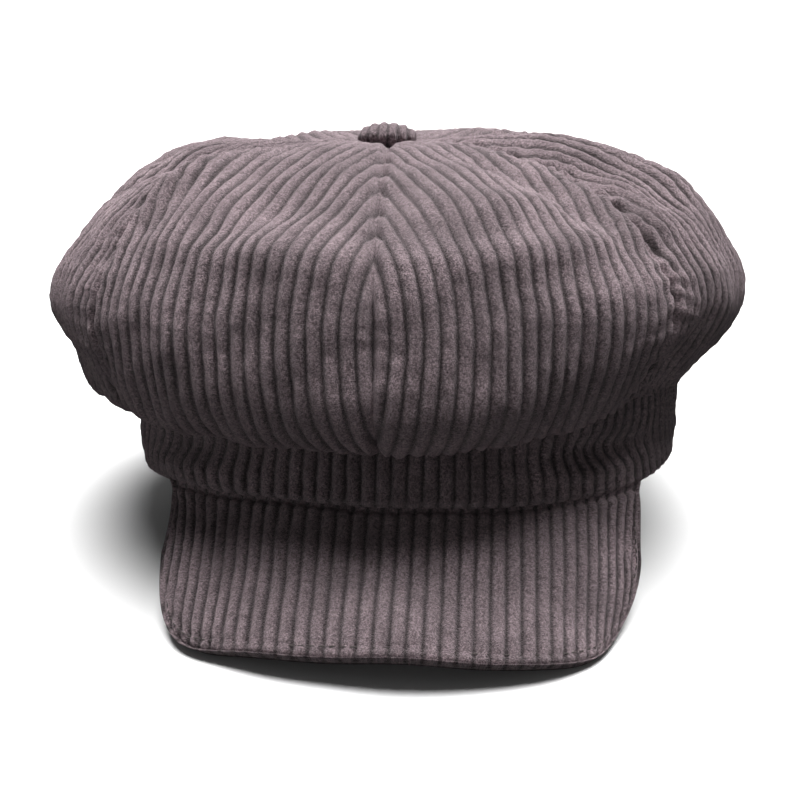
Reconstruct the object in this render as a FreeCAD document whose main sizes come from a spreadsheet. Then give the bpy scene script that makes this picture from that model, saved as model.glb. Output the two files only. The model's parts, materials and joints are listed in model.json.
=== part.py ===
"""Newsboy cap: an eight-gore corduroy crown over a headband, a stiffened visor,
a covered button, a gored lining and a sweatband.

The cap is drawn upright, with the headband's hem in the plane z = 0 and the visor
towards -Y.  Every piece then gets one common placement, which tips the cap back to
the way it lies on a table, on the visor's front corners and the back of the hem.
All sizes are millimetres and come from the sheet "Dims".
"""
import FreeCAD, Part
import Sketcher
import math
import os

from FreeCAD import Placement, Rotation, Vector

doc = FreeCAD.newDocument("newsboy_cap")
dims = doc.addObject("Spreadsheet::Sheet", "Dims")

# ---------------------------------------------------------------- driving dimensions
SIZES = {
    # headband and the layers inside it
    "band_half_width": 98.5, "band_half_depth": 89.0, "band_height": 35.0,
    "band_cloth": 1.8, "layer_gap": 0.2,
    "interlining_thick": 0.6, "interlining_low": 2.0, "interlining_height": 30.0,
    "elastic_thick": 0.6, "elastic_low": 7.0, "elastic_height": 18.0,
    "elastic_half_length": 42.0,
    "sweatband_thick": 0.8, "sweatband_drop": 1.5, "sweatband_height": 31.0,
    "tab_width": 16.0, "tab_height": 12.0, "tab_thick": 0.4, "tab_low": 8.0,
    # crown: cloth, lining, and how far the whole crown slouches to one side
    "gore_cloth": 1.8, "lining_thick": 0.5, "lining_gap": 2.0, "seam_gap": 0.6,
    "crown_top": 122.0, "neck_inset": 0.5, "neck_rise": 1.7,
    "crown_hole": 3.6, "slouch": 8.5, "slouch_top": 4.0, "seam_spread": 0.09,
    "lining_leave": 0.62, "lining_pull": 16.0, "lining_clear": 4.5, "lining_tail": 4.0,
    # visor: an arc of the hem, laid forwards and down
    "visor_half_angle": 57.0, "visor_length": 59.0, "visor_slope": 41.0,
    "visor_side_slope": 50.0, "visor_flare": 0.2, "visor_corner": 7.0,
    "visor_cloth": 1.6, "visor_board": 1.4, "visor_under": 1.2, "visor_gap": 0.2,
    "visor_seam_room": 4.4, "board_inset": 2.0, "visor_reach": 0.97,
    "flex_axis_forward": 69.0,
    # thread
    "thread_radius": 0.25, "stitch_length": 2.3, "stitch_pitch": 3.4,
    "edge_stitch_inset": 3.2, "sweat_stitch_rise": 3.0,
    # covered button
    "button_radius": 10.0, "button_height": 5.6, "button_cloth": 1.2,
    "button_shell": 0.5, "button_plate": 0.5, "button_lift": 1.7, "plate_hole": 1.2,
    "prong_width": 3.0, "prong_thick": 0.5, "prong_drop": 6.6, "prong_foot": 5.0,
    # how the cap lies at rest
    "rest_tilt": 12.4,
}

# Each crown profile is (radius, height) at five places between button and headband.
PROFILE_PLACES = ("crest", "slope", "shoulder", "widest", "hang", "low")
PROFILES = {
    "front": ((43.5, 117.5), (78.5, 104.5), (115, 83), (123, 62), (118, 33), (107.5, 23)),
    "right": ((41.5, 123), (78.5, 118), (112, 101.5), (129.5, 71.5), (116, 49.5), (107.5, 39.5)),
    "back": ((41.5, 126.5), (78.5, 126.5), (110.5, 113), (123, 80.5), (117, 54), (105.5, 38.5)),
    "left": ((41.5, 122), (78.5, 117), (112, 95), (130.5, 65), (121, 37.5), (107.5, 24)),
}

GORES = 8
GORE_STATIONS = 28          # cross sections down each gore
GORE_ACROSS = 7             # lines down each gore
LINING_BRIDGE = 7           # stations where the lining crosses the crown's slack
VISOR_STATIONS = 19
VISOR_ALONG = 4
PROFILE_SAMPLES = 121


def fill_sheet():
    """Write every driving number to the sheet as an aliased cell."""
    cells = dict(SIZES)
    for side, points in PROFILES.items():
        for place, (radius, height) in zip(PROFILE_PLACES, points):
            cells[f"{side}_{place}_radius"] = radius
            cells[f"{side}_{place}_height"] = height
    for row, (alias, value) in enumerate(cells.items(), start=1):
        dims.set(f"A{row}", alias)
        dims.set(f"B{row}", str(value))
        dims.setAlias(f"B{row}", alias)
    doc.recompute()


def dim(alias):
    return float(dims.get(alias))


fill_sheet()


# ---------------------------------------------------------------- small helpers
def smoothstep(low, high, value):
    part = min(1.0, max(0.0, (value - low) / (high - low)))
    return part * part * (3.0 - 2.0 * part)


def feature(label, shape):
    piece = doc.addObject("Part::Feature", label)
    piece.Label = label
    piece.Shape = shape
    return piece


def primitive(kind, label, bindings):
    """A Part primitive whose properties are expressions of the sheet."""
    item = doc.addObject(kind, label)
    for prop, text in bindings.items():
        item.setExpression(prop, text)
    return item


def boolean(kind, label, base, tool):
    item = doc.addObject(kind, label)
    item.Base = base
    item.Tool = tool
    item.Label = label
    return item


# ---------------------------------------------------------------- crown surface
def centripetal_curve(points, samples):
    """Centripetal Catmull-Rom curve through the points, as evenly indexed samples."""
    first = points[0] * 2 - points[1]
    last = points[-1] * 2 - points[-2]
    chain = [first] + list(points) + [last]
    spans = len(points) - 1
    curve = []
    for index in range(samples):
        place = index / (samples - 1) * spans
        span = min(int(place), spans - 1)
        p0, p1, p2, p3 = chain[span:span + 4]
        k0 = 0.0
        k1 = k0 + math.sqrt((p1 - p0).Length)
        k2 = k1 + math.sqrt((p2 - p1).Length)
        k3 = k2 + math.sqrt((p3 - p2).Length)
        k = k1 + (place - span) * (k2 - k1)
        a1 = p0 * ((k1 - k) / (k1 - k0)) + p1 * ((k - k0) / (k1 - k0))
        a2 = p1 * ((k2 - k) / (k2 - k1)) + p2 * ((k - k1) / (k2 - k1))
        a3 = p2 * ((k3 - k) / (k3 - k2)) + p3 * ((k - k2) / (k3 - k2))
        b1 = a1 * ((k2 - k) / (k2 - k0)) + a2 * ((k - k0) / (k2 - k0))
        b2 = a2 * ((k3 - k) / (k3 - k1)) + a3 * ((k - k1) / (k3 - k1))
        curve.append(b1 * ((k2 - k) / (k2 - k1)) + b2 * ((k - k1) / (k2 - k1)))
    return curve


def side_profile(side):
    """One profile of the crown, from the button down to the top of the headband."""
    points = [Vector(0, 0, dim("crown_top"))]
    for place in PROFILE_PLACES:
        points.append(Vector(dim(f"{side}_{place}_radius"), 0, dim(f"{side}_{place}_height")))
    half = dim("band_half_depth") if side in ("front", "back") else dim("band_half_width")
    points.append(Vector(half - dim("neck_inset"), 0, dim("band_height") + dim("neck_rise")))
    return centripetal_curve(points, PROFILE_SAMPLES)


CURVES = {side: side_profile(side) for side in PROFILES}


def curve_at(curve, share):
    place = min(max(share, 0.0), 1.0) * (len(curve) - 1)
    index = min(int(place), len(curve) - 2)
    part = place - index
    return curve[index] * (1 - part) + curve[index + 1] * part


def crown_point(turn, share):
    """Point of the crown's outer face: turn is 0 at the front and grows to the right,
    share runs from 0 at the button to 1 at the headband."""
    ahead, aside = math.cos(turn), math.sin(turn)
    along = curve_at(CURVES["front" if ahead >= 0 else "back"], share)
    across = curve_at(CURVES["right" if aside >= 0 else "left"], share)
    mixed = along * ahead ** 2 + across * aside ** 2
    lean = dim("slouch") + dim("slouch_top") * (1 - share) ** 2
    lean *= 1 - smoothstep(0.8, 1.0, share)
    return Vector(mixed.x * aside - lean, -mixed.x * ahead, mixed.z)


def crown_inward(turn, share):
    """Unit normal of the crown's outer face, pointing into the cap."""
    step = 0.004
    low, high = max(share - step, 0.0), min(share + step, 1.0)
    down = crown_point(turn, high) - crown_point(turn, low)
    around = crown_point(turn + step, share) - crown_point(turn - step, share)
    return down.cross(around).normalize() * -1


def inside_point(turn, share, depth):
    return crown_point(turn, share) + crown_inward(turn, share) * depth


def seam_turn(number):
    """Turn of a crown seam; the front and back gores are a little wider."""
    even = 2 * math.pi * number / GORES
    return even + dim("seam_spread") * math.sin(2 * even)


def skin(grid):
    """Smooth face through a grid of points, and its four boundary edges."""
    surface = Part.BSplineSurface()
    surface.interpolate(grid)
    u_low, u_high, v_low, v_high = surface.bounds()
    edges = [curve.toShape() for curve in (surface.uIso(u_low), surface.uIso(u_high),
                                           surface.vIso(v_low), surface.vIso(v_high))]
    return surface.toShape(), edges


def sheet_solid(outer_grid, inner_grid):
    """Closed thin solid between two faces given as matching grids of points."""
    outer, outer_edges = skin(outer_grid)
    inner, inner_edges = skin(inner_grid)
    walls = [Part.makeLoft([Part.Wire(a), Part.Wire(b)], False, True)
             for a, b in zip(outer_edges, inner_edges)]
    sewn = Part.makeCompound([outer, inner] + walls)
    sewn.sewShape()
    solid = Part.makeSolid(sewn.Shells[0])
    if solid.Volume < 0:
        solid.reverse()
    return solid


def gore_turn(number, across, share):
    """Turn of a line down a gore: across runs from 0 to 1 between its two seams, and
    the line keeps half the seam's gap from them at every share."""
    start, finish = seam_turn(number), seam_turn(number + 1)
    middle = crown_point((start + finish) / 2, share)
    radius = max(math.hypot(middle.x - crown_point(0, share).x, middle.y), dim("crown_hole"))
    clear = dim("seam_gap") / 2 / radius
    return start + clear + (finish - start - 2 * clear) * across


def first_share():
    """Share at which the crown's profile leaves the small hole under the button."""
    share = 0.0
    while curve_at(CURVES["front"], share).x < dim("crown_hole"):
        share += 0.001
    return share


def deeper_grid(grid, thick):
    """The points of a grid moved into the cap by the cloth's thickness, each along
    its own normal."""
    last_row, last_column = len(grid) - 1, len(grid[0]) - 1
    moved = []
    for i, row in enumerate(grid):
        line = []
        for j, point in enumerate(row):
            down = grid[min(i + 1, last_row)][j] - grid[max(i - 1, 0)][j]
            around = row[min(j + 1, last_column)] - row[max(j - 1, 0)]
            line.append(point - down.cross(around).normalize() * thick)
        moved.append(line)
    return moved


def gore_solid(number, thick, column):
    """Thin closed sheet over one gore.  column gives the points down one line of the
    sheet's outer face."""
    lines = [column(number, i / (GORE_ACROSS - 1)) for i in range(GORE_ACROSS)]
    outer = [list(row) for row in zip(*lines)]
    return sheet_solid(outer, deeper_grid(outer, thick))


def crown_column(number, across):
    """Outer cloth, from the hole under the button to the top of the headband."""
    start = first_share()
    shares = [start + (1 - start) * i / (GORE_STATIONS - 1) for i in range(GORE_STATIONS)]
    return [crown_point(gore_turn(number, across, share), share) for share in shares]


def lining_column(number, across):
    """Lining: under the cloth as far as the widest place, then straight across the
    slack of the crown and down inside the headband."""
    below = dim("gore_cloth") + dim("lining_gap")
    start, leave = first_share(), dim("lining_leave")
    inset = dim("band_cloth") + dim("interlining_thick") + 2 * dim("layer_gap")
    count = GORE_STATIONS - LINING_BRIDGE - 2
    points = []
    for i in range(count):
        share = start + (leave - start) * i / (count - 1)
        points.append(inside_point(gore_turn(number, across, share), share, below))
    turn = gore_turn(number, across, leave)
    first, second = points[-1], points[-2]
    neck = band_point(turn, inset, dim("band_height") + dim("lining_clear"))
    tail = band_point(turn, inset, dim("band_height") - dim("lining_tail"))
    pull_out = (first - second).normalize() * dim("lining_pull")
    pull_in = (neck - tail).normalize() * dim("lining_pull")
    for i in range(1, LINING_BRIDGE + 1):
        along = i / LINING_BRIDGE
        back = 1 - along
        points.append(first * back ** 3 + (first + pull_out) * (3 * back ** 2 * along)
                      + (neck + pull_in) * (3 * back * along ** 2) + neck * along ** 3)
    return points + [(neck + tail) * 0.5, tail]


def band_point(turn, inset, height):
    half_width = dim("band_half_width") - inset
    half_depth = dim("band_half_depth") - inset
    return Vector(half_width * math.sin(turn), -half_depth * math.cos(turn), height)


def make_crown():
    pieces = []
    for number in range(GORES):
        shape = gore_solid(number, dim("gore_cloth"), crown_column)
        pieces.append(feature(f"crown_gore_{number + 1}", shape))
    return pieces


def make_lining():
    pieces = []
    for number in range(GORES):
        shape = gore_solid(number, dim("lining_thick"), lining_column)
        pieces.append(feature(f"lining_gore_{number + 1}", shape))
    return pieces


# ---------------------------------------------------------------- headband layers
def oval_prism(label, inset, low, height):
    """Upright oval prism, inset from the headband's outer face."""
    oval = primitive("Part::Ellipse", label + "_outline", {
        "MajorRadius": f"Dims.band_half_width - ({inset})",
        "MinorRadius": f"Dims.band_half_depth - ({inset})",
        "Placement.Base.z": low,
    })
    prism = doc.addObject("Part::Extrusion", label)
    prism.Base = oval
    prism.DirMode = "Custom"
    prism.Dir = Vector(0, 0, 1)
    prism.Solid = True
    prism.setExpression("LengthFwd", height)
    return prism


def oval_ring(label, inset, thick, low, height):
    """Closed strip standing on edge: one oval prism cut by a smaller, taller one."""
    margin = "1"
    outer = oval_prism(label + "_outer", inset, low, height)
    inner = oval_prism(label + "_inner", f"{inset} + {thick}", f"{low} - {margin}",
                       f"{height} + 2 * {margin}")
    return boolean("Part::Cut", label, outer, inner)


INTERLINING_INSET = "Dims.band_cloth + Dims.layer_gap"
ELASTIC_INSET = INTERLINING_INSET + " + Dims.interlining_thick + Dims.layer_gap"
SWEATBAND_INSET = ELASTIC_INSET + " + Dims.elastic_thick + Dims.layer_gap"


def make_headband():
    return oval_ring("headband", "0", "Dims.band_cloth", "0", "Dims.band_height")


def make_interlining():
    return oval_ring("headband_interlining", INTERLINING_INSET, "Dims.interlining_thick",
                     "Dims.interlining_low", "Dims.interlining_height")


def make_sweatband():
    return oval_ring("sweatband", SWEATBAND_INSET, "Dims.sweatband_thick",
                     "-Dims.sweatband_drop", "Dims.sweatband_height")


def make_elastic():
    """Flat elastic inside the back of the sweatband."""
    ring = oval_ring("elastic_ring", ELASTIC_INSET, "Dims.elastic_thick",
                     "Dims.elastic_low", "Dims.elastic_height")
    keeper = primitive("Part::Box", "elastic_span", {
        "Length": "2 * Dims.elastic_half_length",
        "Width": "Dims.band_half_depth",
        "Height": "Dims.band_height",
        "Placement.Base.x": "-Dims.elastic_half_length",
    })
    return boolean("Part::Common", "back_elastic", ring, keeper)


def make_size_tab():
    """Blank woven tab sewn inside the back of the sweatband."""
    face = f"Dims.band_half_depth - ({SWEATBAND_INSET}) - Dims.sweatband_thick"
    tab = doc.addObject("PartDesign::Body", "size_tab")
    tab.Label = "size_tab"
    plane = next(f for f in tab.Origin.OriginFeatures if f.Role == "XZ_Plane")
    sketch = tab.newObject("Sketcher::SketchObject", "tab_outline")
    sketch.AttachmentSupport = (plane, [""])
    sketch.MapMode = "FlatFace"
    corners = [Vector(-8, 8, 0), Vector(8, 8, 0), Vector(8, 20, 0), Vector(-8, 20, 0)]
    for index, corner in enumerate(corners):
        sketch.addGeometry(Part.LineSegment(corner, corners[(index + 1) % 4]), False)
    for index in range(4):
        sketch.addConstraint(Sketcher.Constraint("Coincident", index, 2, (index + 1) % 4, 1))
    sketch.addConstraint(Sketcher.Constraint("Horizontal", 0))
    sketch.addConstraint(Sketcher.Constraint("Horizontal", 2))
    sketch.addConstraint(Sketcher.Constraint("Vertical", 1))
    sketch.addConstraint(Sketcher.Constraint("Vertical", 3))
    for name, kind, refs, text in (
            ("width", "DistanceX", (0, 1, 0, 2), "Dims.tab_width"),
            ("rise", "DistanceY", (1, 1, 1, 2), "Dims.tab_height"),
            ("left", "DistanceX", (0, 1, -1, 1), "Dims.tab_width / 2"),
            ("low", "DistanceY", (-1, 1, 0, 1), "Dims.tab_low")):
        number = sketch.addConstraint(Sketcher.Constraint(kind, *refs, 1.0))
        sketch.renameConstraint(number, name)
        sketch.setExpression(f"Constraints.{name}", text)
    sketch.setExpression("AttachmentOffset.Base.z",
                         f"-({face} - Dims.layer_gap * 4 - Dims.tab_thick)")
    doc.recompute()
    pad = tab.newObject("PartDesign::Pad", "tab_pad")
    pad.Profile = sketch
    pad.setExpression("Length", "Dims.tab_thick")
    tab.Tip = pad
    return tab


# ---------------------------------------------------------------- visor
def visor_line(across):
    """Start point and outward direction of the visor at one place across the seam;
    across runs from -1 at the left end to 1 at the right end."""
    turn = math.radians(dim("visor_half_angle")) * across
    start = band_point(turn, 0.0, 0.0)
    normal = Vector(math.sin(turn) / dim("band_half_width"),
                    -math.cos(turn) / dim("band_half_depth"), 0).normalize()
    flat = normal * dim("visor_flare") + Vector(0, -1, 0) * (1 - dim("visor_flare"))
    flat.normalize()
    slope = dim("visor_slope") + (dim("visor_side_slope") - dim("visor_slope")) * across ** 2
    fall = math.radians(slope)
    outward = flat * math.cos(fall) + Vector(0, 0, -1) * math.sin(fall)
    return start, outward


def visor_point(across, reach):
    start, outward = visor_line(across)
    return start + outward * reach


def visor_down(across, reach):
    step = 0.01
    along = visor_point(across, reach + 1) - visor_point(across, reach)
    over = visor_point(across + step, reach) - visor_point(across - step, reach)
    down = along.cross(over).normalize()
    return down if down.z < 0 else down * -1


def visor_extent(across):
    """Length of the visor from seam to edge, rounded off at the two front corners."""
    return dim("visor_length") * math.sqrt(1 - abs(across) ** dim("visor_corner"))


def visor_layer(label, depth, thick, seam_room, edge_inset):
    """One layer of the visor as a thin solid, depth below the top face."""
    top, under = [], []
    for station in range(VISOR_STATIONS):
        angle = math.pi * (station / (VISOR_STATIONS - 1) - 0.5)
        across = dim("visor_reach") * math.sin(angle)
        far = visor_extent(across) - edge_inset
        reaches = [seam_room + (far - seam_room) * i / (VISOR_ALONG - 1)
                   for i in range(VISOR_ALONG)]
        rows = [[visor_point(across, reach) + visor_down(across, reach) * level
                 for reach in reaches] for level in (depth, depth + thick)]
        top.append(rows[0])
        under.append(rows[1])
    return feature(label, sheet_solid(top, under))


def make_visor():
    cloth, board, under = dim("visor_cloth"), dim("visor_board"), dim("visor_under")
    gap, room = dim("visor_gap"), dim("visor_seam_room")
    inset = dim("board_inset")
    return [
        visor_layer("visor_top_cover", 0.0, cloth, room, 0.0),
        visor_layer("visor_board", cloth + gap, board, room + inset, inset),
        visor_layer("visor_under_cover", cloth + board + 2 * gap, under, room, 0.0),
    ]


# ---------------------------------------------------------------- thread
def stitch_row(label, path, lift):
    """Row of short straight stitches lying along a path of points, lifted off the
    cloth by a vector for each point."""
    pitch, length = dim("stitch_pitch"), dim("stitch_length")
    radius = dim("thread_radius")
    stitches = []
    travelled, wanted = 0.0, pitch / 2
    for index in range(len(path) - 1):
        step = path[index + 1] - path[index]
        while wanted <= travelled + step.Length:
            part = (wanted - travelled) / step.Length
            spot = path[index] + step * part + lift[index]
            heading = Vector(step).normalize()
            stitches.append(Part.makeCylinder(radius, length, spot - heading * length / 2, heading))
            wanted += pitch
        travelled += step.Length
    return feature(label, Part.makeCompound(stitches))


def make_edge_stitching():
    """Topstitching that follows the visor's free edge."""
    samples = 160
    rise = dim("thread_radius") * 2
    path, lift = [], []
    for index in range(samples + 1):
        across = dim("visor_reach") * math.sin(math.pi * (index / samples - 0.5))
        reach = visor_extent(across) - dim("edge_stitch_inset")
        path.append(visor_point(across, reach))
        lift.append(visor_down(across, reach) * -rise)
    return stitch_row("visor_edge_stitching", path, lift)


def make_sweatband_stitching():
    """Stitching near the sweatband's lower edge, on its inner face."""
    samples = 240
    inset = (dim("band_cloth") + dim("interlining_thick") + dim("elastic_thick")
             + 3 * dim("layer_gap") + dim("sweatband_thick") + dim("thread_radius") * 2)
    height = dim("sweat_stitch_rise")
    path = [band_point(2 * math.pi * i / samples, inset, height) for i in range(samples + 1)]
    return stitch_row("sweatband_stitching", path, [Vector()] * (samples + 1))


# ---------------------------------------------------------------- covered button
BUTTON_X = "-Dims.slouch - Dims.slouch_top"
BUTTON_Z = "Dims.crown_top + Dims.button_lift"


def half_dome(label, inset):
    """Upper half of a flattened ball."""
    return primitive("Part::Ellipsoid", label, {
        "Radius1": f"Dims.button_height - ({inset})",
        "Radius2": f"Dims.button_radius - ({inset})",
        "Radius3": f"Dims.button_radius - ({inset})",
        "Angle1": "0 deg",
        "Placement.Base.x": BUTTON_X,
        "Placement.Base.z": BUTTON_Z,
    })


def dome_shell(label, inset, thick):
    outer = half_dome(label + "_outer", inset)
    inner = half_dome(label + "_inner", f"{inset} + {thick}")
    return boolean("Part::Cut", label, outer, inner)


def make_button():
    cover = dome_shell("button_cover", "0", "Dims.button_cloth")
    shell = dome_shell("button_shell", "Dims.button_cloth + Dims.layer_gap",
                       "Dims.button_shell")
    room = "Dims.button_cloth + Dims.button_shell + 3 * Dims.layer_gap"
    disc = primitive("Part::Cylinder", "plate_disc", {
        "Radius": f"Dims.button_radius - ({room})",
        "Height": "Dims.button_plate",
        "Placement.Base.x": BUTTON_X,
        "Placement.Base.z": BUTTON_Z,
    })
    hole = primitive("Part::Cylinder", "plate_hole", {
        "Radius": "Dims.plate_hole",
        "Height": "Dims.button_height",
        "Placement.Base.x": BUTTON_X,
        "Placement.Base.z": f"{BUTTON_Z} - 1",
    })
    plate = boolean("Part::Cut", "button_back_plate", disc, hole)
    return [cover, shell, plate, make_prong()]


def make_prong():
    """Two-legged prong: a cross bar under the plate, two legs and two bent feet."""
    thick, foot = "Dims.prong_thick", "Dims.prong_foot"
    legs = []
    for name, side in (("left", -1), ("right", 1)):
        leg_x = f"{BUTTON_X} + ({side}) * Dims.prong_width / 2 - {thick} / 2"
        leg = primitive("Part::Box", f"prong_leg_{name}", {
            "Length": thick, "Width": "Dims.prong_width", "Height": "Dims.prong_drop",
            "Placement.Base.x": leg_x,
            "Placement.Base.y": "-Dims.prong_width / 2",
            "Placement.Base.z": f"{BUTTON_Z} - Dims.prong_drop",
        })
        reach = f"{BUTTON_X} + ({side}) * (Dims.prong_width + {foot}) / 2 - {foot} / 2"
        toe = primitive("Part::Box", f"prong_foot_{name}", {
            "Length": foot, "Width": "Dims.prong_width", "Height": thick,
            "Placement.Base.x": reach,
            "Placement.Base.y": "-Dims.prong_width / 2",
            "Placement.Base.z": f"{BUTTON_Z} - Dims.prong_drop - {thick}",
        })
        legs.append(boolean("Part::Fuse", f"prong_side_{name}", leg, toe))
    bar = primitive("Part::Box", "prong_bar", {
        "Length": f"Dims.prong_width + {thick}", "Width": "Dims.prong_width",
        "Height": thick,
        "Placement.Base.x": f"{BUTTON_X} - (Dims.prong_width + {thick}) / 2",
        "Placement.Base.y": "-Dims.prong_width / 2",
        "Placement.Base.z": f"{BUTTON_Z} - {thick}",
    })
    both = boolean("Part::Fuse", "prong_sides", legs[0], legs[1])
    return boolean("Part::Fuse", "button_prong", both, bar)


# ---------------------------------------------------------------- assembly
pieces = make_crown() + make_lining()
pieces += [make_headband(), make_interlining(), make_sweatband(), make_elastic(),
           make_size_tab(), make_sweatband_stitching()]
pieces += make_visor() + [make_edge_stitching()] + make_button()
doc.recompute()


def rest_placement(items):
    """Tip the cap back, then centre its box on the origin and stand it on z = 0."""
    tipped = Placement(Vector(), Rotation(Vector(1, 0, 0), -dim("rest_tilt")))
    box = FreeCAD.BoundBox()
    for item in items:
        shape = item.Shape.copy()
        shape.Placement = tipped.multiply(shape.Placement)
        box.add(shape.optimalBoundingBox(False))
    shift = Vector(-(box.XMin + box.XMax) / 2, -(box.YMin + box.YMax) / 2, -box.ZMin)
    return Placement(shift, tipped.Rotation)


rest = rest_placement(pieces)
for piece in pieces:
    piece.Placement = rest.multiply(piece.Placement)
doc.recompute()

for item in doc.Objects:
    state = set(item.State)
    if state & {"Invalid", "Error"}:
        raise RuntimeError(f"{item.Name} failed: {sorted(state)}")
for piece in pieces:
    if piece.Shape.isNull() or not piece.Shape.isValid():
        raise RuntimeError(f"{piece.Label} has no valid shape")

os.makedirs("parts", exist_ok=True)
for piece in pieces:
    piece.Shape.exportStep(f"parts/{piece.Label}.step")
    box = piece.Shape.BoundBox
    print(f"{piece.Label:24s} solids {len(piece.Shape.Solids):3d} "
          f"volume {piece.Shape.Volume:9.1f}  "
          f"x {box.XMin:7.1f} {box.XMax:7.1f}  y {box.YMin:7.1f} {box.YMax:7.1f}  "
          f"z {box.ZMin:6.1f} {box.ZMax:6.1f}")

flex_axis = rest.multVec(Vector(0, -dim("flex_axis_forward"), 0))
print("cap origin at rest", [round(v, 3) for v in rest.Base])
print("visor flex axis passes", [round(v, 3) for v in flex_axis])
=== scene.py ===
"""Looks of a newsboy cap: wide-wale corduroy gores, headband and visor covers, a
gathered button, a black gored lining and a sweatband.

Shapes are worked out in the cap's own upright frame, in millimetres: the hem of the
headband lies in the plane z = 0 and the visor points towards -Y.  cap_to_world()
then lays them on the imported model, in metres.
"""
import json
import math

import bpy
import numpy as np
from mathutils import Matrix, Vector


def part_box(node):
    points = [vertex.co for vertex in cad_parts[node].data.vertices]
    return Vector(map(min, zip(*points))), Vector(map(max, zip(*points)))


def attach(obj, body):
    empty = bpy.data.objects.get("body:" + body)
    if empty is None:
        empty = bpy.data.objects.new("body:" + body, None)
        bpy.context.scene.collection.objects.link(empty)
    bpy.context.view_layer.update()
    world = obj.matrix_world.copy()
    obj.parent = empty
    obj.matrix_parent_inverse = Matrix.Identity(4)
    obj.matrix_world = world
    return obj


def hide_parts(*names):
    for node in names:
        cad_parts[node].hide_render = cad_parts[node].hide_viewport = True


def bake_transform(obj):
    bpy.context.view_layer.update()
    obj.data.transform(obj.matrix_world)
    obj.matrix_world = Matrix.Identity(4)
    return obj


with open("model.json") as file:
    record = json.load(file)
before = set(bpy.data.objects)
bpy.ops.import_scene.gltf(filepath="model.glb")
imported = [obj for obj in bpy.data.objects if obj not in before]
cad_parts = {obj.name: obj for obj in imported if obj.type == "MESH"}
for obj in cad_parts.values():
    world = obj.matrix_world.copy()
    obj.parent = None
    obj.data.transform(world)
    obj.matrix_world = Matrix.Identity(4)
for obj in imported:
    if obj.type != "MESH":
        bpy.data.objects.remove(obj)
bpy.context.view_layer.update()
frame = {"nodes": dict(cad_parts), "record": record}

MM = 0.001

# ---------------------------------------------------------------- the cap's sizes, mm
BAND_HALF_WIDTH = 98.5
BAND_HALF_DEPTH = 89.0
BAND_HEIGHT = 35.0
BAND_TURN_IN = 1.4             # the band's upper edge inside the crown's neck
BAND_CLOTH = 1.8
INTERLINING_INSET = 2.0
ELASTIC_INSET = 2.8
SWEATBAND_INSET = 3.6
SWEATBAND_DROP = 1.5
SWEATBAND_HEIGHT = 31.0
SWEATBAND_THICK = 0.8
LAYER_GAP = 0.6                # each inner layer sits this much further in than drawn
STRIP_THICK = 0.5
INTERLINING_SPAN = (3.0, 31.0)  # heights of the lower and upper edges
ELASTIC_SPAN = (7.0, 25.0)
ELASTIC_HALF_TURN = 0.46       # radians each way from the middle of the back
TAB_SPAN = (8.0, 20.0)
TAB_LENGTH = 16.0

CROWN_TOP = 122.0
GORES = 8
NECK_INSET = 0.5
NECK_RISE = 0.5
HOLE_RADIUS = 3.6
SLOUCH = 8.5
SLOUCH_TOP = 4.0
SEAM_SPREAD = 0.09
# (radius, height) at the crest, slope, shoulder, widest place, hang and low fold
PROFILES = {
    "front": ((43.5, 117.5), (78.5, 104.5), (115, 83), (123, 62), (118, 33), (107.5, 23)),
    "right": ((41.5, 123), (78.5, 118), (112, 101.5), (129.5, 71.5), (116, 49.5), (107.5, 39.5)),
    "back": ((41.5, 126.5), (78.5, 126.5), (110.5, 113), (123, 80.5), (117, 54), (105.5, 38.5)),
    "left": ((41.5, 122), (78.5, 117), (112, 95), (130.5, 65), (121, 37.5), (107.5, 24)),
}

VISOR_HALF_ANGLE = 57.0
VISOR_LENGTH = 59.0
VISOR_SLOPE = 41.0
VISOR_SIDE_SLOPE = 50.0
VISOR_FLARE = 0.2
VISOR_CORNER = 7.0
VISOR_BOW = 0.05            # how much the visor hollows along its length, radians
VISOR_DEEP = 4.8            # both covers and the board together
VISOR_TUCK = 3.0            # how far the covers run up behind the hem
BLEND_DEPTH = 10.0          # depth below the hem of a point that ride_visor works out but does not use

WALE = 5.2                  # pitch of the corduroy
WALE_RISE = 1.6

BUTTON_RADIUS = 11.2
BUTTON_HEIGHT = 7.0
BUTTON_WRAP = 132           # degrees over the dome that the cloth reaches
BUTTON_WALE = 3.7           # the cloth's cords, drawn together by the gathers
BUTTON_CLOTH = 1.1
BUTTON_CENTRE = (-SLOUCH - SLOUCH_TOP - 1.2, -0.6, CROWN_TOP + 0.2)


# ---------------------------------------------------------------- placing
def cap_pose():
    """Tilt of the cap at rest and the place of its origin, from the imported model."""
    out = frame["record"]["mounts"][0]["axis"]
    tilt = math.atan2(-out[1], -out[2])
    low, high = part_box("headband")
    middle = (np.array(low) + np.array(high)) / 2 / MM
    rise = BAND_HEIGHT / 2
    return tilt, middle - np.array([0, rise * math.sin(tilt), rise * math.cos(tilt)])


TILT, CAP_ORIGIN = cap_pose()


def bell(value, middle, width):
    return np.exp(-((value - middle) / width) ** 2)


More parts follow.
